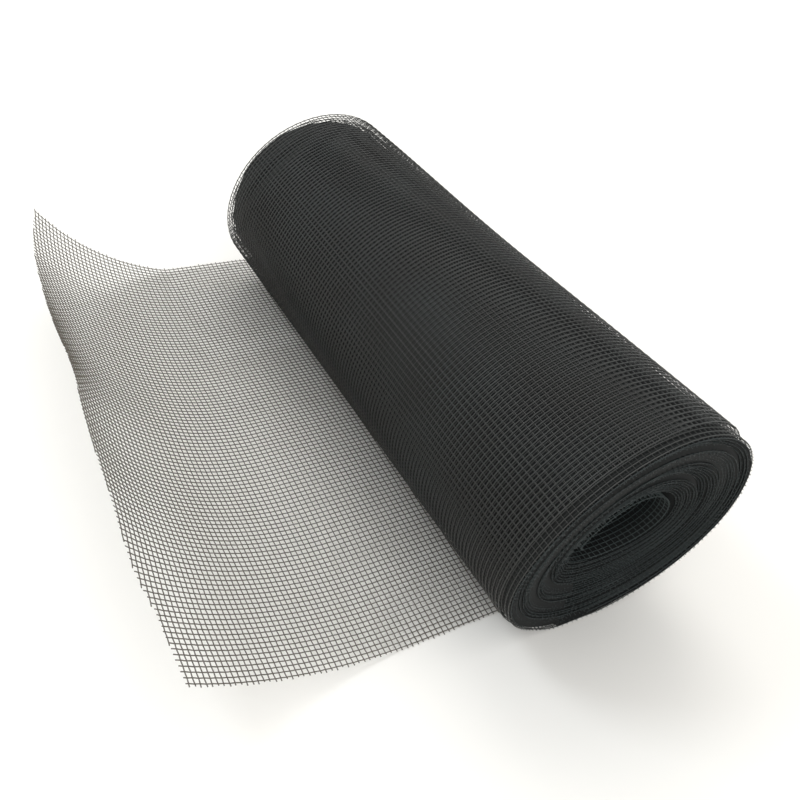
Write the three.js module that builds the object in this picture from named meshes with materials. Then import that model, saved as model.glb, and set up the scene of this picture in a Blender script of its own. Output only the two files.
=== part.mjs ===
// A coreless roll of fiberglass insect screen, lying on its side, with its last stretch of cloth
// drawn out from under it. Millimetres, +Z up. The roll's axis runs along Y, its near end at -Y,
// and the loose end lies towards -X. The origin is the middle of the roll's flat spot.
import * as THREE from "three";
import { mergeVertices } from "three/addons/utils/BufferGeometryUtils.js";

// The cloth
const CLOTH_WIDTH = 168.2; // from cut edge to cut edge, 119 meshes of 25.4 / 18
const SHEET_THICK = 1.0; // the solid that stands for the 0.5 mm screen of the loose end
const GAP = 0.3; // between the loose end and the roll that it comes from

// The roll: wound a little wider at its near end, and slack enough to settle on a flat spot
const NEAR_RADIUS = 36.3;
const FAR_RADIUS = 31.6;
const FLAT_DEPTH = 0.8; // how far the flat spot is pressed in
const EXIT_ANGLE = 12; // degrees before the lowest line at which the outer turn leaves the roll
const STEP_HEIGHT = 1.3; // the step down from the outer turn to the one below it
const STEP_ANGLE = 0.5; // degrees over which that step falls
const OUTER_TURN = 1.2; // radial depth of the loose outer turn at both ends
const OUTER_TURN_SHIFT = 2.6; // how far the outer turn has slid towards the far end
const DRIFT = 1.2; // how far the near end has settled towards +X
const FAR_SLACK = 1.6; // how far the outer turn stands off at the far end, most at the top right
const SLACK_TURN = 140; // degrees round the roll from its lowest line to the most slack
const SLACK_RUN = 90; // length over which the slack dies out
const LEAN = 5.0; // how far the underside of the wound turns has slid towards the far end
const LEAN_TURN = -8; // degrees round the roll to the most lean
const NEAR_HOLLOW = 15.5; // radius of the open middle at the near end
const FAR_HOLLOW = 12.5;
const HOLLOW_SAG = 3.6; // how far the hollow's centre lies below the roll's
const HOLLOW_DRIFT = 3.6; // how far it lies towards +X
const HOLLOW_SQUASH = 0.95; // height of the hollow against its width
const ROUND_STEPS = 72;
const LENGTH_STEPS = 4; // rings between the two ends, for the taper and the flat spot

// The wound turns slide past each other along the axis: each row is a ledge of the near face,
// with the depth of turns outside its inner edge and how far it lies behind the near rim. The
// cloth is as wide everywhere, so the same ledges stand out of the far face.
const LEDGES = [
  { inward: 4.2, setback: 0 },
  { inward: 9.0, setback: 1.4 },
  { inward: 14.5, setback: 3.2 },
  { inward: Infinity, setback: 5.0 },
];

// The loose end: a row for each place across the cloth's width, from the near cut edge (0) to the
// far one (1). reach is the cloth's length from the roll to its cut end, flat the part of it that
// lies level, kink the degrees by which it turns up there, bend how fast it curls on from there,
// in degrees per millimetre, and lift how far the level part stands off the surface.
const CURL = [
  { across: 0.0, reach: 105, flat: 34, kink: 0, bend: 0.5, lift: 0.0 },
  { across: 0.13, reach: 106.5, flat: 38, kink: 0, bend: 0.6, lift: 0.8 },
  { across: 0.25, reach: 109.4, flat: 44, kink: 0, bend: 0.82, lift: 2.2 },
  { across: 0.38, reach: 109.3, flat: 48, kink: 0, bend: 1.0, lift: 3.0 },
  { across: 0.5, reach: 106.5, flat: 45, kink: 0, bend: 1.0, lift: 2.6 },
  { across: 0.63, reach: 106, flat: 43, kink: 0, bend: 0.98, lift: 1.4 },
  { across: 0.76, reach: 101.5, flat: 39, kink: 0, bend: 0.9, lift: 0.4 },
  { across: 0.88, reach: 97, flat: 37, kink: 2, bend: 0.84, lift: 0.0 },
  { across: 0.95, reach: 95, flat: 38, kink: 8, bend: 0.78, lift: 0.4 },
  { across: 1.0, reach: 93, flat: 38, kink: 14, bend: 0.7, lift: 0.8 },
];
const LOOSE_SHIFT = 15; // how far the loose end has slid towards the far end, against the roll
const LIFT_RUN = 15; // length over which the cloth rises from under the roll to its lift
const KINK_RUN = 6; // length over which the kink turns
const CURL_STEPS = 60; // steps in which the curl is followed
const SHEET_STEPS = { along: 36, across: 32 };

const CLOTH_COLOUR = 0x33353a;

const degrees = THREE.MathUtils.degToRad;
const mix = THREE.MathUtils.lerp;
const clamp = THREE.MathUtils.clamp;
const smooth = (t) => THREE.MathUtils.smoothstep(t, 0, 1);

// A size that changes evenly along the roll's axis, from its near end to its far one.
function alongRoll(near, far, y) {
  return mix(near, far, clamp(y / CLOTH_WIDTH + 0.5, 0, 1));
}

// The roll's section, as a closed loop of (depth of turns outside, place along the axis): up the
// ledges of the near face, along the outside, down the far face and back through the hollow.
function rollProfile() {
  const half = CLOTH_WIDTH / 2;
  const face = (rim) => {
    const shoulder = [0, OUTER_TURN].map((depth) => [depth, rim + OUTER_TURN_SHIFT]);
    const ledge = ({ inward, setback }, i) => [
      [i > 0 ? LEDGES[i - 1].inward : OUTER_TURN, rim + setback],
      [inward, rim + setback],
    ];
    return [...shoulder, ...LEDGES.flatMap(ledge)];
  };
  const near = face(-half).reverse();
  const far = face(half);
  const between = (from, to) =>
    Array.from({ length: LENGTH_STEPS - 1 }, (_, i) => [from[0], mix(from[1], to[1], (i + 1) / LENGTH_STEPS)]);
  const outside = between(near.at(-1), far[0]);
  const inside = between(far.at(-1), near[0]);
  return [...near, ...outside, ...far, ...inside].reverse();
}

// A swing from 0 to 1 round the roll, highest at the given turn.
function swing(turn, most) {
  return (1 + Math.cos(degrees(turn - most))) / 2;
}

// Where a point of the wound roll lies: turn is the angle from the lowest line, anticlockwise
// as seen from the near end, and depth the thickness of the turns outside the point.
function placeOnRoll(turn, depth, y) {
  const outer = alongRoll(NEAR_RADIUS, FAR_RADIUS, y);
  const hollow = alongRoll(NEAR_HOLLOW, FAR_HOLLOW, y);
  const round = THREE.MathUtils.euclideanModulo(turn + EXIT_ANGLE, 360);
  const full = 360 - STEP_ANGLE;
  const wound = round < full ? round / full : (360 - round) / STEP_ANGLE;
  const radius = Math.max(outer - depth, hollow);
  const inner = clamp((outer - radius) / (outer - hollow), 0, 1);
  const slack = FAR_SLACK * smooth(1 + (y - CLOTH_WIDTH / 2) / SLACK_RUN) * swing(turn, SLACK_TURN) ** 2;
  const reach = radius + (slack - STEP_HEIGHT * wound) * (1 - inner);
  const x = reach * Math.sin(degrees(turn)) + alongRoll(DRIFT, 0, y) + HOLLOW_DRIFT * inner;
  const z = -reach * Math.cos(degrees(turn)) * mix(1, HOLLOW_SQUASH, inner) - HOLLOW_SAG * inner;
  const lean = LEAN * swing(turn, LEAN_TURN) ** 2;
  return new THREE.Vector3(x, y + lean, Math.max(0, outer - FLAT_DEPTH + z));
}

function roll() {
  const profile = rollProfile().map(([depth, y]) => new THREE.Vector2(depth, y));
  profile.push(profile[0].clone());
  const count = profile.length;
  const geometry = new THREE.LatheGeometry(profile.map(() => new THREE.Vector2(1, 0)), ROUND_STEPS + 1);
  const points = geometry.getAttribute("position");
  for (let i = 0; i < points.count; i += 1) {
    const column = Math.floor(i / count);
    const { x: depth, y } = profile[i % count];
    const round = column > ROUND_STEPS ? 360 : (column * (360 - STEP_ANGLE)) / ROUND_STEPS;
    const turn = round - EXIT_ANGLE;
    points.setXYZ(i, ...placeOnRoll(turn, depth, y).toArray());
  }
  return geometry;
}

// A named column of the curl table at a place across the cloth, on a smooth curve through its rows.
function curlAt(across, column) {
  const last = CURL.length - 1;
  const i = clamp(CURL.findIndex((row) => row.across >= across) - 1, 0, last - 1);
  const slope = (k) => {
    const [low, high] = [CURL[Math.max(0, k - 1)], CURL[Math.min(last, k + 1)]];
    return (high[column] - low[column]) / (high.across - low.across);
  };
  const [from, to] = [CURL[i], CURL[i + 1]];
  const span = to.across - from.across;
  const t = clamp((across - from.across) / span, 0, 1);
  const rise = t * t * (3 - 2 * t);
  const ease = t * (1 - t) * span;
  return mix(from[column], to[column], rise) + ease * ((1 - t) * slope(i) - t * slope(i + 1));
}

// The middle of the loose end's cloth, at a distance from the roll and a place across the width,
// and the slope there, followed in small steps from the roll outwards.
function placeOnSheet(distance, across) {
  const y = (across - 0.5) * CLOTH_WIDTH + LOOSE_SHIFT;
  const flat = curlAt(across, "flat");
  const kink = degrees(curlAt(across, "kink"));
  const bend = degrees(curlAt(across, "bend"));
  const slope = (s) => (s > flat ? kink * smooth((s - flat) / KINK_RUN) + bend * (s - flat) : 0);
  const step = distance / CURL_STEPS;
  const radius = alongRoll(NEAR_RADIUS, FAR_RADIUS, y);
  let x = alongRoll(DRIFT, 0, y) - radius * Math.sin(degrees(EXIT_ANGLE)) - GAP;
  let z = SHEET_THICK / 2 + Math.max(0, curlAt(across, "lift")) * smooth(distance / LIFT_RUN);
  for (let i = 0; i < CURL_STEPS; i += 1) {
    const angle = slope((i + 0.5) * step);
    x -= step * Math.cos(angle);
    z += step * Math.sin(angle);
  }
  return { point: new THREE.Vector3(x, y, z), angle: slope(distance) };
}

function looseEnd() {
  const { along, across } = SHEET_STEPS;
  const geometry = new THREE.BoxGeometry(1, 1, 1, along, across, 1);
  const points = geometry.getAttribute("position");
  for (let i = 0; i < points.count; i += 1) {
    const place = points.getY(i) + 0.5;
    const distance = (0.5 - points.getX(i)) * curlAt(place, "reach");
    const { point, angle } = placeOnSheet(distance, place);
    const offset = points.getZ(i) * SHEET_THICK;
    point.x += offset * Math.sin(angle);
    point.z += offset * Math.cos(angle);
    points.setXYZ(i, ...point.toArray());
  }
  return geometry;
}

// One named piece of cloth, with its shared corners merged.
function piece(name, geometry) {
  geometry.deleteAttribute("normal");
  geometry.deleteAttribute("uv");
  const closed = mergeVertices(geometry, 1e-4);
  closed.computeVertexNormals();
  const material = new THREE.MeshStandardMaterial({ color: CLOTH_COLOUR, roughness: 0.62, metalness: 0 });
  const mesh = new THREE.Mesh(closed, material);
  mesh.name = name;
  return mesh;
}

const group = new THREE.Group();
group.add(piece("roll", roll()), piece("loose_end", looseEnd()));

export default group;
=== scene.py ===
import math

import bmesh
import bpy
import numpy as np
from mathutils import Matrix, Vector


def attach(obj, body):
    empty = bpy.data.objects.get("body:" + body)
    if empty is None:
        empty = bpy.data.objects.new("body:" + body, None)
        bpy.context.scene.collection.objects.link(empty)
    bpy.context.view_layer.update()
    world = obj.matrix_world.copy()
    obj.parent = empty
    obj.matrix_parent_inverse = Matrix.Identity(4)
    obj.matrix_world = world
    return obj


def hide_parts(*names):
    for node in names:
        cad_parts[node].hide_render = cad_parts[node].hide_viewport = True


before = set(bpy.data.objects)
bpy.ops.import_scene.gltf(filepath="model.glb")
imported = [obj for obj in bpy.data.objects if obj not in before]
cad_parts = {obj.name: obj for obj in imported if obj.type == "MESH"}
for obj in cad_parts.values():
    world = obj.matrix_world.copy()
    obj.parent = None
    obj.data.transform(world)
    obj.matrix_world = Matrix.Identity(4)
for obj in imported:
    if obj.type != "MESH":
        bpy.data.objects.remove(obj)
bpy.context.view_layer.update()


# Camera
# It looks down at the roll from its near left, with the picture tilted a little clockwise. Its
# place and lens were fitted to the roll's outline and to the count of its meshes.
AZIMUTH, ELEVATION, TILT = (math.radians(angle) for angle in (-40.593, 39.46, 15.3))
AIM = Vector((0.00028, 0.0134, 0))
DISTANCE = 0.3066
back = Vector((math.sin(AZIMUTH), -math.cos(AZIMUTH), math.tan(ELEVATION))).normalized()
level = Vector((0, 0, 1)).cross(back).normalized()
upright = back.cross(level)
across_view = math.cos(TILT) * level + math.sin(TILT) * upright
up_view = math.cos(TILT) * upright - math.sin(TILT) * level
camera_data = bpy.data.cameras.new("camera")
camera_data.sensor_width = 36
camera_data.lens = 42.588
camera_data.clip_start = 0.01
camera_data.clip_end = 20
camera = bpy.data.objects.new("camera", camera_data)
bpy.context.scene.collection.objects.link(camera)
turned = Matrix((across_view, up_view, back)).transposed().to_4x4()
camera.matrix_world = Matrix.Translation(AIM + back * DISTANCE) @ turned
bpy.context.scene.camera = camera


# Studio
# A plain matt floor, light and warm enough to come out white under an even sky. A soft lamp
# stands high behind the roll. A cooler one at its left and a low one before its near end draw
# out the hoops.
FLOOR_HALF = 3
floor_form = bmesh.new()
bmesh.ops.create_grid(floor_form, x_segments=1, y_segments=1, size=FLOOR_HALF)
floor_mesh = bpy.data.meshes.new("floor")
floor_form.to_mesh(floor_mesh)
floor_form.free()
floor = bpy.data.objects.new("floor", floor_mesh)
bpy.context.scene.collection.objects.link(floor)
floor_paint = bpy.data.materials.new("floor")
floor_paint.use_nodes = True
floor_shader = floor_paint.node_tree.nodes["Principled BSDF"]
floor_shader.inputs["Base Color"].default_value = (0.95, 0.93, 0.885, 1)
floor_shader.inputs["Roughness"].default_value = 0.9
floor_shader.inputs["Specular IOR Level"].default_value = 0.1
floor_mesh.materials.append(floor_paint)

world = bpy.data.worlds.new("studio")
bpy.context.scene.world = world
world.use_nodes = True
sky = world.node_tree.nodes["Background"]
sky.inputs["Color"].default_value = (1, 1, 1, 1)
sky.inputs["Strength"].default_value = 0.88
bpy.context.scene.view_settings.view_transform = "Standard"

for name, energy, size, colour, place in (
    ("back_lamp", 3.2, 0.7, (1.0, 0.985, 0.96), (0.25, 0.55, 0.95)),
    ("left_lamp", 1.9, 0.25, (0.86, 0.93, 1.0), (-0.52, 0.38, 0.72)),
    ("near_lamp", 2.1, 0.5, (0.95, 0.98, 1.0), (-0.1, -0.9, 0.42)),
):
    lamp_data = bpy.data.lights.new(name, "AREA")
    lamp_data.energy = energy
    lamp_data.size = size
    lamp_data.color = colour
    lamp = bpy.data.objects.new(name, lamp_data)
    bpy.context.scene.collection.objects.link(lamp)
    lamp.location = place
    lamp.rotation_euler = Vector(place).to_track_quat("Z", "Y").to_euler()


# Loose end
# The last 93 to 109 mm of the cloth, glass yarn in charcoal vinyl, woven 18 by 16 to the inch.
# Warp runs along the cloth, weft across it. It leaves the roll level and curls up towards its cut
# end, most sharply at the far corner, where the scissors crossed the weft at a slant.
MM = 0.001
WIDTH = 168.2  # from cut edge to cut edge
WARPS = 119
WARP_STEP = 25.4 / 18
WEFT_STEP = 25.4 / 16
LOOSE_YARN = 0.135  # radius of the yarn
WEAVE = 0.05  # how far a yarn rises and falls where it crosses the others
NEAR_RADIUS, FAR_RADIUS = 36.3, 31.6  # of the roll that the cloth comes out from under
EXIT = 12  # degrees before the roll's lowest line at which the cloth leaves it
DRIFT = 1.2  # how far the roll's near end has settled towards +X
LIE = 0.26  # height of the cloth's middle where it lies level
SLIDE = 15  # how far the loose end has slid towards the far end, against the roll
LIFT_RUN = 15  # length over which the cloth rises from under the roll
KINK_RUN = 6  # length over which the kink turns
CURL_STEP = 0.25  # length of the steps in which the curl is followed
CURL_END = 125  # a length past the longest cloth
SLANT = 5.5  # wefts that the line where the cloth leaves the roll crosses, from edge to edge
FIRST_WEFT = -30.1  # the weft count at that line's near end
UNEVEN = 0.05  # how unevenly the scissors cut, in wefts
HOLD = 0.02  # how far outside the cut a weft still holds
STUBS = (0.3, 0.62)  # how far a cut weft stands out past its last warp, in warps

# The curl for places across the cloth, from the near cut edge (0) to the far one (1): flat is the
# length that lies level, kink the degrees by which the cloth turns up there, bend how fast it
# curls on from there in degrees per millimetre, and lift how far the level part is off the floor.
CURL = np.array([
    # across, flat, kink, bend, lift
    (0.0, 34, 0, 0.5, 0.0),
    (0.13, 38, 0, 0.6, 0.8),
    (0.25, 44, 0, 0.82, 2.2),
    (0.38, 48, 0, 1.0, 3.0),
    (0.5, 45, 0, 1.0, 2.6),
    (0.63, 43, 0, 0.98, 1.4),
    (0.76, 39, 0, 0.9, 0.4),
    (0.88, 37, 2, 0.84, 0.0),
    (0.95, 38, 8, 0.78, 0.4),
    (1.0, 38, 14, 0.7, 0.8),
])
# The weft count at which each warp was cut, for places across the cloth.
CUT = np.array([
    (0.0, 34.5), (0.115, 35.7), (0.15, 37.3), (0.205, 39.0), (0.275, 40.0), (0.345, 41.0),
    (0.43, 41.6), (0.5, 40.6), (0.56, 40.0), (0.63, 40.2), (0.7, 39.3), (0.76, 38.0),
    (0.88, 36.0), (0.95, 35.0), (1.0, 34.0),
])
rng = np.random.default_rng(18)


def smooth(t):
    t = np.clip(t, 0, 1)
    return t * t * (3 - 2 * t)


def along_roll(near, far, y):
    """A size that changes evenly from the near cut edge to the far one."""
    return near + (far - near) * np.clip(y / WIDTH + 0.5, 0, 1)


def through(knots, values, at):
    """The value at a place on a smooth curve through a table's column."""
    middle = (values[2:] - values[:-2]) / (knots[2:] - knots[:-2])
    ends = np.diff(values) / np.diff(knots)
    slope = np.concatenate([ends[:1], middle, ends[-1:]])
    i = np.clip(np.searchsorted(knots, at) - 1, 0, len(knots) - 2)
    span = knots[i + 1] - knots[i]
    t = np.clip((at - knots[i]) / span, 0, 1)
    ease = t * (1 - t) * span * ((1 - t) * slope[i] - t * slope[i + 1])
    return values[i] * (1 - smooth(t)) + values[i + 1] * smooth(t) + ease


def first_weft(y):
    """The weft count at the line where the cloth leaves the roll."""
    return along_roll(FIRST_WEFT, FIRST_WEFT + SLANT, y)


def sheet_point(distance, y):
    """Points and normals of the loose cloth at distances from the roll, along one warp."""
    place = along_roll(0, 1, y)
    flat, kink, bend, lift = (through(CURL[:, 0], column, place) for column in CURL.T[1:])
    run = np.arange(0, CURL_END, CURL_STEP)
    turned_up = np.radians(kink) * smooth((run - flat) / KINK_RUN) + np.radians(bend) * (run - flat)
    slope = np.where(run > flat, turned_up, 0)
    start = along_roll(DRIFT, 0, y) - along_roll(NEAR_RADIUS, FAR_RADIUS, y) * math.sin(math.radians(EXIT))
    x = start - np.cumsum(np.cos(slope)) * CURL_STEP
    z = LIE + max(0, lift) * smooth(run / LIFT_RUN) + np.cumsum(np.sin(slope)) * CURL_STEP
    angle = np.interp(distance, run, slope)
    y_there = np.full_like(distance, y + SLIDE)
    points = np.stack([np.interp(distance, run, x), y_there, np.interp(distance, run, z)], axis=-1)
    return points, np.stack([np.sin(angle), np.zeros_like(angle), np.cos(angle)], axis=-1)


def yarns(name, runs, sides, radius):
    """One mesh of closed tubes, from runs of (points, surface normals) in millimetres."""
    corners, quads, caps, base = [], [], [], 0
    angles = 2 * math.pi * (np.arange(sides) + 0.5) / sides
    for points, normals in runs:
        along = np.gradient(points, axis=0)
        along /= np.linalg.norm(along, axis=1)[:, None]
        side = np.cross(along, normals)
        side /= np.linalg.norm(side, axis=1)[:, None]
        top = np.cross(side, along)
        ring = np.cos(angles)[:, None] * side[:, None] + np.sin(angles)[:, None] * top[:, None]
        corners.append((points[:, None] + radius * ring).reshape(-1, 3))
        count = len(points)
        rings = base + sides * np.arange(count - 1)[:, None]
        this, following = rings + np.arange(sides), rings + (np.arange(sides) + 1) % sides
        quad = [this, this + sides, following + sides, following]
        quads.append(np.stack(quad, axis=2).reshape(-1, 4))
        caps.append(base + np.arange(sides))
        caps.append(base + sides * (count - 1) + np.arange(sides)[::-1])
        base += sides * count
    corners = np.concatenate(corners) * MM
    loops = np.concatenate([np.ravel(np.concatenate(quads)), np.ravel(caps)])
    sizes = np.concatenate([np.full(sum(map(len, quads)), 4), np.full(len(caps), sides)])
    mesh = bpy.data.meshes.new(name)
    mesh.vertices.add(len(corners))
    mesh.vertices.foreach_set("co", corners.astype(np.float32).ravel())
    mesh.loops.add(len(loops))
    mesh.loops.foreach_set("vertex_index", loops.astype(np.int32))
    mesh.polygons.add(len(sizes))
    mesh.polygons.foreach_set("loop_start", (np.cumsum(sizes) - sizes).astype(np.int32))
    mesh.update(calc_edges=True)
    mesh.shade_smooth()
    piece = bpy.data.objects.new(name, mesh)
    bpy.context.scene.collection.objects.link(piece)
    return piece


def stretches(mask):
    """The first and last index of each unbroken stretch of True."""
    edges = np.flatnonzero(np.diff(np.concatenate([[0], mask.astype(int), [0]])))
    return [(a, b - 1) for a, b in zip(edges[::2], edges[1::2])]


class Wire:
    """A shader socket that takes part in sums."""

    def __init__(self, graph, socket):
        self.graph, self.socket = graph, socket

    def math(self, operation, *others):
        values = dict(enumerate((self, *others)))
        return self.graph.add("ShaderNodeMath", {"operation": operation}, values)

    def __add__(self, other):
        return self.math("ADD", other)

    def __mul__(self, other):
        return self.math("MULTIPLY", other)

    def __sub__(self, other):
        return self.math("SUBTRACT", other)

    def __rsub__(self, other):
        return self * -1 + other

    __radd__ = __add__
    __rmul__ = __mul__


class Graph:
    """The nodes of one material."""

    def __init__(self, name):
        self.material = bpy.data.materials.new(name)
        self.material.use_nodes = True
        self.tree = self.material.node_tree
        self.shader = self.tree.nodes["Principled BSDF"]

    def add(self, kind, settings, sockets, output=0):
        node = self.tree.nodes.new(kind)
        for key, value in settings.items():
            setattr(node, key, value)
        for key, value in sockets.items():
            self.feed(node.inputs[key], value)
        return Wire(self, node.outputs[output])

    def feed(self, slot, value):
        if isinstance(value, Wire):
            self.tree.links.new(value.socket, slot)
        else:
            slot.default_value = value

    def noise(self, scale, detail):
        place = self.add("ShaderNodeTexCoord", {}, {}, "Object")
        sockets = {"Vector": place, "Scale": scale, "Detail": detail}
        return self.add("ShaderNodeTexNoise", {}, sockets, "Fac")

    def mix(self, factor, low, high):
        sockets = {"Factor": factor, "A": (*low, 1), "B": (*high, 1)}
        return self.add("ShaderNodeMix", {"data_type": "RGBA"}, sockets, "Result")


def vinyl(name, dark, light):
    """Matt charcoal vinyl over twisted glass, a little uneven in tone, gloss and thickness."""
    graph = Graph(name)
    grain = graph.noise(scale=1400, detail=2)
    cloud = graph.noise(scale=45, detail=3)
    tone = grain * 0.6 + cloud * 0.9 - 0.25
    graph.feed(graph.shader.inputs["Base Color"], graph.mix(tone, dark, light))
    graph.feed(graph.shader.inputs["Roughness"], grain * 0.25 + 0.32)
    bump = {"Strength": 0.25, "Distance": 0.00005, "Height": grain}
    graph.feed(graph.shader.inputs["Normal"], graph.add("ShaderNodeBump", {}, bump, "Normal"))
    return graph.material


warp_y = (np.arange(WARPS) - (WARPS - 1) / 2) * WARP_STEP
wefts = np.arange(-30, 44)  # counted outwards from a weft 43 mm from the roll
cut = through(CUT[:, 0], CUT[:, 1], along_roll(0, 1, warp_y)) + rng.normal(0, UNEVEN, WARPS)
lattice = [sheet_point((wefts - first_weft(y)) * WEFT_STEP, y) for y in warp_y]
points = np.stack([p for p, _ in lattice], axis=1)
normals = np.stack([n for _, n in lattice], axis=1)
over = np.where((wefts[:, None] + np.arange(WARPS)) % 2 == 0, WEAVE, -WEAVE)[..., None]
warp_at, weft_at = points + over * normals, points - over * normals
runs = []
for j, y in enumerate(warp_y):
    kept = (wefts >= first_weft(y)) & (wefts <= cut[j])
    ends, end_normals = sheet_point(np.array([0.0, (cut[j] - first_weft(y)) * WEFT_STEP]), y)
    row = [ends[:1], warp_at[kept, j], ends[1:]]
    row_normals = [end_normals[:1], normals[kept, j], end_normals[1:]]
    runs.append((np.concatenate(row), np.concatenate(row_normals)))
for i, weft in enumerate(wefts):
    kept = (weft >= first_weft(warp_y)) & (weft <= cut + HOLD)
    for a, b in stretches(kept):
        row = weft_at[i, a:b + 1]
        if len(row) < 2:
            continue
        stubs = rng.uniform(*STUBS, 2)
        first = row[:1] + (row[:1] - row[1:2]) * stubs[0]
        last = row[-1:] + (row[-1:] - row[-2:-1]) * stubs[1]
        row_normals = [normals[i, a:a + 1], normals[i, a:b + 1], normals[i, b:b + 1]]
        runs.append((np.concatenate([first, row, last]), np.concatenate(row_normals)))
loose_end = yarns("loose_end_screen", runs, sides=4, radius=LOOSE_YARN)
# Painted light: the yarn here is a lighter, warmer copy of the same vinyl as on the roll, for the light it
# takes from the bright floor under it.
loose_end.data.materials.append(vinyl("loose_coat_painted_light", (0.080, 0.067, 0.050), (0.120, 0.104, 0.082)))
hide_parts("loose_end")
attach(loose_end, "root")


# Outer turn
# The same cloth runs on under the roll and once round it, held by nothing but its own winding. It
# has slid towards the far end, and stands off the other turns there at the left and at the top
# right, where the light floor shows through it. The hoops are its warp.
OUTER_WARP, OUTER_WEFT = 0.145, 0.11  # radii of the yarns
LAYER = 0.07  # how far the warp lies outside the cloth's middle, and the weft inside it
STUB = 0.5  # how far the cut weft stands out past its last warp
TURN_LENGTH = 2 * math.pi * 33.05  # cloth that goes once round the roll
FIRST_ROW = 3.35  # the weft that lies where the cloth leaves the roll, halfway across it
SLANT_CHANGE, SLANT_RUN = 8.3, 60  # the weft's slant reverses over this many wefts
NEAR_HOLLOW, FAR_HOLLOW = 15.5, 12.5  # radius of the roll's open middle
HOLLOW_SHIFT = 3.6  # how far its centre has sagged, and how far it lies towards +X
HOLLOW_SQUASH = 0.05  # how much lower it is than wide
FLAT_DEPTH = 0.8  # how far the flat spot under the roll is pressed in
NEST = 0.45  # height of one turn above the one under it on the flat spot
SETTLE = 0.14  # the part of a turn over which it goes from lying loose to lying packed
TOP_RIGHT, LEFT, TOP_LEFT, UNDER = 135, 310, 222, 10  # degrees round the roll from its lowest line
PROUD, PROUD_RUN = 0.8, 130  # how far the turns bulge at the near end's top right
STAND_OFF, STAND_OFF_RUN = 1.6, 90  # how far the outer turn stands off at the far end's top right
PINCH = 0.2  # how far the turns below it are drawn in there
DENT, DENT_TURN = 1.5, 0.3  # how far they are drawn in at the left, after this part of a turn
SWELL = 0.5  # how far they swell at the top left, between the two
FAR_RUN = 60  # length over which the dent and the swell die out
LEAN, LEAN_TURN = 5.0, -8  # how far the roll's underside has slid, and the degrees where most
SLID, EXIT_SLID, EXIT_SLID_TURN = 2.6, 7.4, 0.6  # the outer turn's slide, and the rest at its exit
FRINGE, FRINGE_END, FRINGE_RUN = 0.5, 1.9, 0.2  # how far the second turn stands out underneath
FLUSH, FLUSH_SWELL, FLUSH_RUN = 1.2, 2.0, 14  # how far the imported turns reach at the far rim
# The winding, in turns from where the cloth leaves the roll: its depth below the outside, and how
# far its near edge is set back. The turns have slid past each other in four ledges.
TURNS, DEPTHS, SETBACKS = np.array([
    (0, 0.25, -0.25),
    (2, 1.45, -0.25),
    (5.6, 4.0, 1.2),
    (6.0, 5.0, 0.4),
    (12.2, 8.9, 2.6),
    (12.6, 9.9, 1.6),
    (19.6, 14.3, 4.4),
    (20.0, 15.3, 3.4),
    (28, 20.8, 5.8),
]).T


def swing(turn, most):
    """A swing from 0 to 1 round the roll, highest at the given turn."""
    return (1 + np.cos(np.radians(turn - most))) / 2


def roll_point(turns, y):
    """Points and normals of the wound cloth, turns counted from where the cloth leaves the roll."""
    turn = turns * 360 - EXIT
    around = np.radians(turn)
    outer = along_roll(NEAR_RADIUS, FAR_RADIUS, y)
    hollow = along_roll(NEAR_HOLLOW, FAR_HOLLOW, y)
    inner = np.interp(turns, TURNS, DEPTHS) / DEPTHS[-1]
    packed = smooth((turns - 1) / SETTLE + 1)
    tight = (packed + smooth((turns - 2) / SETTLE + 1)) / 2
    from_near, from_far = y + WIDTH / 2, y - WIDTH / 2
    top_right = smooth(1 + from_far / STAND_OFF_RUN) * swing(turn, TOP_RIGHT) ** 3
    left = smooth(1 + from_far / FAR_RUN) * swing(turn, LEFT) ** 4 * smooth(turns / DENT_TURN - 1)
    top_left = smooth(1 + from_far / FAR_RUN) * swing(turn, TOP_LEFT) ** 4
    bulge = PROUD * smooth(1 - from_near / PROUD_RUN) * swing(turn, TOP_RIGHT) ** 3
    loose = STAND_OFF * top_right * (1 - tight)
    drawn = (SWELL * top_left - PINCH * top_right - DENT * left) * tight
    reach = outer - inner * (outer - hollow) + (bulge + loose + drawn) * (1 - inner)
    x = reach * np.sin(around) + along_roll(DRIFT, 0, y) + HOLLOW_SHIFT * inner
    z = -reach * np.cos(around) * (1 - HOLLOW_SQUASH * inner) - HOLLOW_SHIFT * inner
    z = np.maximum(z + outer - FLAT_DEPTH, LIE + NEST * np.clip(turns - 0.5, 0, 2))
    slid = SLID + EXIT_SLID * (1 - smooth(turns / EXIT_SLID_TURN))
    flush = smooth(1 + from_far / FLUSH_RUN) * (FLUSH + FLUSH_SWELL * top_left) * (1 - inner)
    fringe = FRINGE * swing(turn, UNDER) ** 4 * (1 - smooth((turns - FRINGE_END) / FRINGE_RUN))
    settled = np.interp(turns, TURNS, SETBACKS) + flush - fringe
    shift = LEAN * swing(turn, LEAN_TURN) ** 2 + slid * (1 - packed) + settled * packed
    normal = np.stack([np.sin(around), np.zeros_like(around), -np.cos(around)], axis=-1)
    return np.stack([x, y + shift, z], axis=-1), normal


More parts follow.
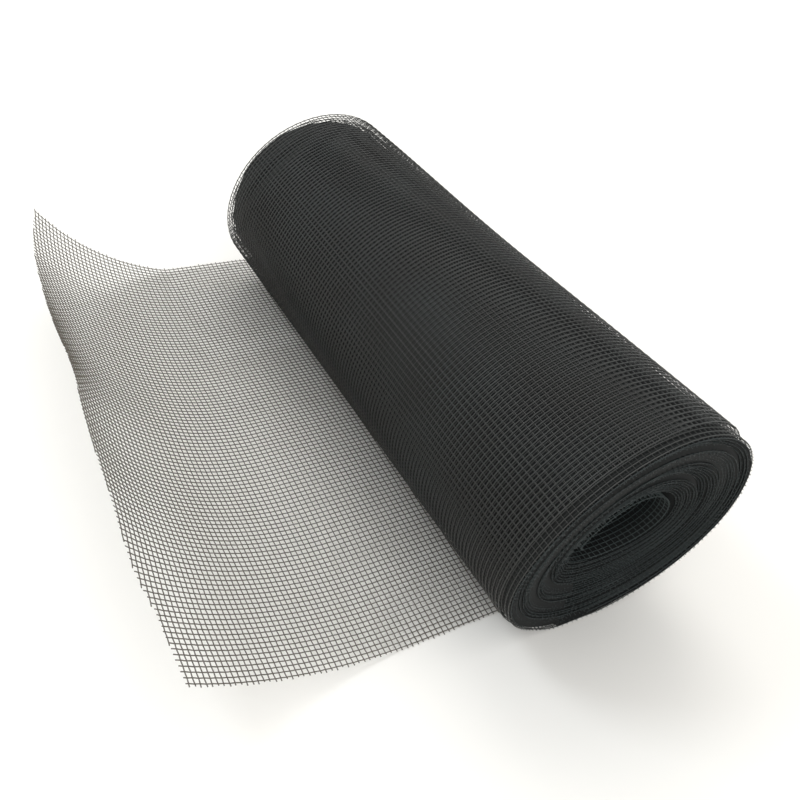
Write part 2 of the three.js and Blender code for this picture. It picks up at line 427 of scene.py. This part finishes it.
rows = np.arange(1, 300)  # wefts counted inwards, enough for two turns
lattice_y = np.concatenate([[warp_y[0] - STUB], warp_y, [warp_y[-1] + STUB]])
slant = SLANT - SLANT_CHANGE * smooth(rows / SLANT_RUN)
wefts_in = rows[:, None] - FIRST_ROW + slant[:, None] * lattice_y / WIDTH
turns = wefts_in * WEFT_STEP / TURN_LENGTH
points, normals = roll_point(turns, np.broadcast_to(lattice_y, turns.shape))
over = np.where((rows[:, None] + np.arange(WARPS + 2)) % 2 == 0, WEAVE, -WEAVE)[..., None]
warp_at, weft_at = points + (LAYER - over) * normals, points - (LAYER - over) * normals
warp_runs, weft_runs = [], []
for j in range(1, WARPS + 1):
    kept = (turns[:, j] > 0) & (turns[:, j] <= 1)
    start, start_normal = roll_point(np.array([0.0]), lattice_y[j])
    row, row_normals = [start, warp_at[kept, j]], [start_normal, normals[kept, j]]
    warp_runs.append((np.concatenate(row), np.concatenate(row_normals)))
for i in range(len(rows)):
    for a, b in stretches((turns[i] > 0) & (turns[i] <= 1)):
        if b > a:
            weft_runs.append((weft_at[i, a:b + 1], normals[i, a:b + 1]))
yarn_coat = vinyl("yarn_coat", (0.020, 0.016, 0.013), (0.041, 0.048, 0.046))
outer_warp = yarns("outer_turn_warp", warp_runs, sides=4, radius=OUTER_WARP)
outer_weft = yarns("outer_turn_weft", weft_runs, sides=4, radius=OUTER_WEFT)
for piece in (outer_warp, outer_weft):
    piece.data.materials.append(yarn_coat)
    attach(piece, "root")


# Second turn
# The cloth's next time round, close under the outer turn and seen through it. It is the outermost
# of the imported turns, and its near edge stands out as a thin fringe underneath. Its yarns are
# plainer, because they show only through the outer ones.
SECOND_WARP, SECOND_WEFT = 0.145, 0.09  # radii of the yarns
SECOND_START = 0.98  # a little before the outer turn ends, so that no gap shows
second_warps, second_wefts = [], []
for j in range(1, WARPS + 1):
    kept = np.flatnonzero((turns[:, j] > SECOND_START) & (turns[:, j] <= 2))[::2]
    second_warps.append((points[kept, j], normals[kept, j]))
for i in range(len(rows)):
    for a, b in stretches((turns[i] > SECOND_START) & (turns[i] <= 2)):
        picked = np.unique(np.concatenate([np.arange(a, b, 4), [b]]))
        if len(picked) > 1:
            second_wefts.append((points[i, picked], normals[i, picked]))
second_warp = yarns("second_turn_warp", second_warps, sides=3, radius=SECOND_WARP)
second_weft = yarns("second_turn_weft", second_wefts, sides=3, radius=SECOND_WEFT)
for piece in (second_warp, second_weft):
    piece.data.materials.append(yarn_coat)
    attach(piece, "root")


# Wound middle
# The turns between the second one and the hollow, as one dark body that stops short of both cut
# edges. A lattice in its colour stands for the third turn, and the rest are too deep to be told
# apart. The dark ground between the lattice's lines is painted shade, the shade that the deep turns
# lie in. It is a grid rolled up into a ring, with its steps at the ledges of the faces.
LINE_X, LINE_Y = 0.07, 0.15  # half widths of the lattice's weft and warp, in meshes
LINE_EDGE = 16  # how sharply its lines end
BODY_STEPS = 96  # round the roll
SKIN_RINGS, HOLLOW_RINGS = 24, 10  # along it, outside and inside
SKIN_TURN, HOLLOW_TURN = 2, 27  # the turns at which the body begins and ends
LEDGE_TURNS = (5, 6, 12, 13, 19, 20, HOLLOW_TURN)
NEAR_RECESS, FAR_RECESS = 0.8, 0.6  # how far the body's walls lie inside the cut edges
SKIN_REACH = 0.5  # how much less so at the outside of the near wall
MERGE = 1e-6  # metres within which the edges of the grid that meet are joined

deep = Graph("deep_painted_shade")
weave_place = deep.add("ShaderNodeUVMap", {"uv_map": "weave"}, {})
lines = []
for axis, half_width in (("X", LINE_X), ("Y", LINE_Y)):
    count = deep.add("ShaderNodeSeparateXYZ", {}, {"Vector": weave_place}, axis)
    off_line = (count.math("FRACT") - 0.5).math("ABSOLUTE")
    lines.append(((half_width - off_line) * LINE_EDGE).math("MAXIMUM", 0).math("MINIMUM", 1))
# Painted shade: the dark ground between the lattice's lines stands for the shade deep in the roll.
tone = deep.mix(lines[0].math("MAXIMUM", lines[1]), (0.010, 0.011, 0.011), (0.030, 0.032, 0.031))
deep.feed(deep.shader.inputs["Base Color"], tone)
deep.shader.inputs["Roughness"].default_value = 0.7
deep.shader.inputs["Specular IOR Level"].default_value = 0.12

near_wall, far_wall = NEAR_RECESS - WIDTH / 2, WIDTH / 2 - FAR_RECESS
profile = [(SKIN_TURN, y) for y in np.linspace(near_wall - SKIN_REACH, far_wall, SKIN_RINGS)]
profile += [(t, far_wall) for t in LEDGE_TURNS]
profile += [(HOLLOW_TURN, y) for y in np.linspace(far_wall, near_wall, HOLLOW_RINGS)[1:-1]]
profile += [(t, near_wall) for t in reversed(LEDGE_TURNS)]
body = bmesh.new()
weave = body.loops.layers.uv.new("weave")
bmesh.ops.create_grid(body, x_segments=BODY_STEPS, y_segments=len(profile), size=0.5)
body.verts.index_update()
on_grid = np.array([corner.co[:2] for corner in body.verts]) + 0.5
grid_places = np.rint(on_grid * (BODY_STEPS, len(profile))).astype(int)
for face in body.faces:
    places = [grid_places[loop.vert.index] for loop in face.loops]
    if max(ring for _, ring in places) < SKIN_RINGS:
        for loop, (column, ring) in zip(face.loops, places):
            weft_count = column / BODY_STEPS * TURN_LENGTH / WEFT_STEP
            loop[weave].uv = (weft_count, profile[ring][1] / WARP_STEP)
columns, rings = grid_places.T
body_turns, body_y = np.array(profile)[rings % len(profile)].T
wound, _ = roll_point(body_turns + columns % BODY_STEPS / BODY_STEPS, body_y)
for corner, place in zip(body.verts, wound):
    corner.co = place * MM
bmesh.ops.remove_doubles(body, verts=body.verts, dist=MERGE)
bmesh.ops.recalc_face_normals(body, faces=body.faces)
body_mesh = bpy.data.meshes.new("wound_middle")
body.to_mesh(body_mesh)
body.free()
body_mesh.shade_smooth()
wound_middle = bpy.data.objects.new("wound_middle", body_mesh)
bpy.context.scene.collection.objects.link(wound_middle)
body_mesh.materials.append(deep.material)
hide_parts("roll")
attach(wound_middle, "root")


# Turns at the faces
# Thirty turns end at each face in raw cut edges, one hoop of warp with short stubs of weft across
# it. Each edge is built inwards only as far as it can be seen between its neighbours.
FACE_YARN = 0.13  # radius of the yarn
EDGE_DEPTHS = (0.0, 0.4, 0.8)  # in from the cut edge: the stub's end, the hoop, the stub's root
RIPPLE, WAVE = 0.16, 0.12  # how far the cut edges wander along the axis, in two uneven waves
FRAY = (-0.25, 0.3)  # how much longer or shorter than the rest a stub is
# Painted shade: the cut faces' yarn is a darker copy of the same vinyl, for the shade between the turns.
face_shaded_coat = vinyl("face_shaded_coat", (0.005, 0.009, 0.009), (0.024, 0.034, 0.034))
for name, end in (("near_face_turns", -1), ("far_face_turns", 1)):
    steps = [float(SKIN_TURN)]
    while steps[-1] < TURNS[-1]:
        radius = NEAR_RADIUS - np.interp(steps[-1], TURNS, DEPTHS)
        steps.append(steps[-1] + WEFT_STEP / (2 * math.pi * radius))
    spiral = np.array(steps)
    wander = RIPPLE * np.sin(spiral * 9.1) * np.sin(spiral * 2.3 + 1) + WAVE * np.sin(spiral * 3.7)
    strands = []
    for depth in EDGE_DEPTHS:
        centre, normal = roll_point(spiral, np.full_like(spiral, end * (WIDTH / 2 - depth)))
        centre[:, 1] += wander
        strands.append((centre, normal))
    face_runs = strands[1:-1]
    for k in range(len(spiral)):
        stub = np.stack([centre[k] for centre, _ in strands])
        stub[0, 1] += end * rng.uniform(*FRAY)
        face_runs.append((stub, np.stack([normal[k] for _, normal in strands])))
    face_turns = yarns(name, face_runs, sides=3, radius=FACE_YARN)
    face_turns.data.materials.append(face_shaded_coat)
    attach(face_turns, "root")


# Inner turn
# The wall of the hollow, and the cloth's free inner end, which springs off it. It is one layer of
# open mesh with nothing inside it, because the cloth was wound without a core.
INNER_TURNS = (27.4, 28.95)  # where this length of cloth begins, and its free end
INNER_RADIUS = 14.5  # of the hollow, for the spacing of the weft
SPRING, SPRING_START, SPRING_TURN = 4.5, 28.1, 0.8  # how far the end springs off, and from where
INNER_INSET = 0.5  # how far the weft stops short of both cut edges
WEFT_POINTS = 31  # along each weft, which is straight here
inner_y = np.linspace(INNER_INSET - WIDTH / 2, WIDTH / 2 - INNER_INSET, WEFT_POINTS)
inner_turns = np.arange(*INNER_TURNS, WEFT_STEP / (2 * math.pi * INNER_RADIUS))


def inner_point(turns, y):
    centre, normal = roll_point(turns, y)
    return centre - normal * SPRING * smooth((turns - SPRING_START) / SPRING_TURN)[:, None], normal


inner_runs = [inner_point(inner_turns[::2], np.full_like(inner_turns[::2], y)) for y in warp_y]
inner_runs += [inner_point(np.full_like(inner_y, t), inner_y) for t in inner_turns]
inner_turn = yarns("inner_turn_screen", inner_runs, sides=3, radius=FACE_YARN)
# Painted light: the wall of the hollow has a lighter, greener copy of the same vinyl than the faces, for
# the light that reaches it in the hollow.
inner_turn.data.materials.append(vinyl("inner_coat_painted_light", (0.010, 0.018, 0.018), (0.048, 0.066, 0.064)))
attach(inner_turn, "root")
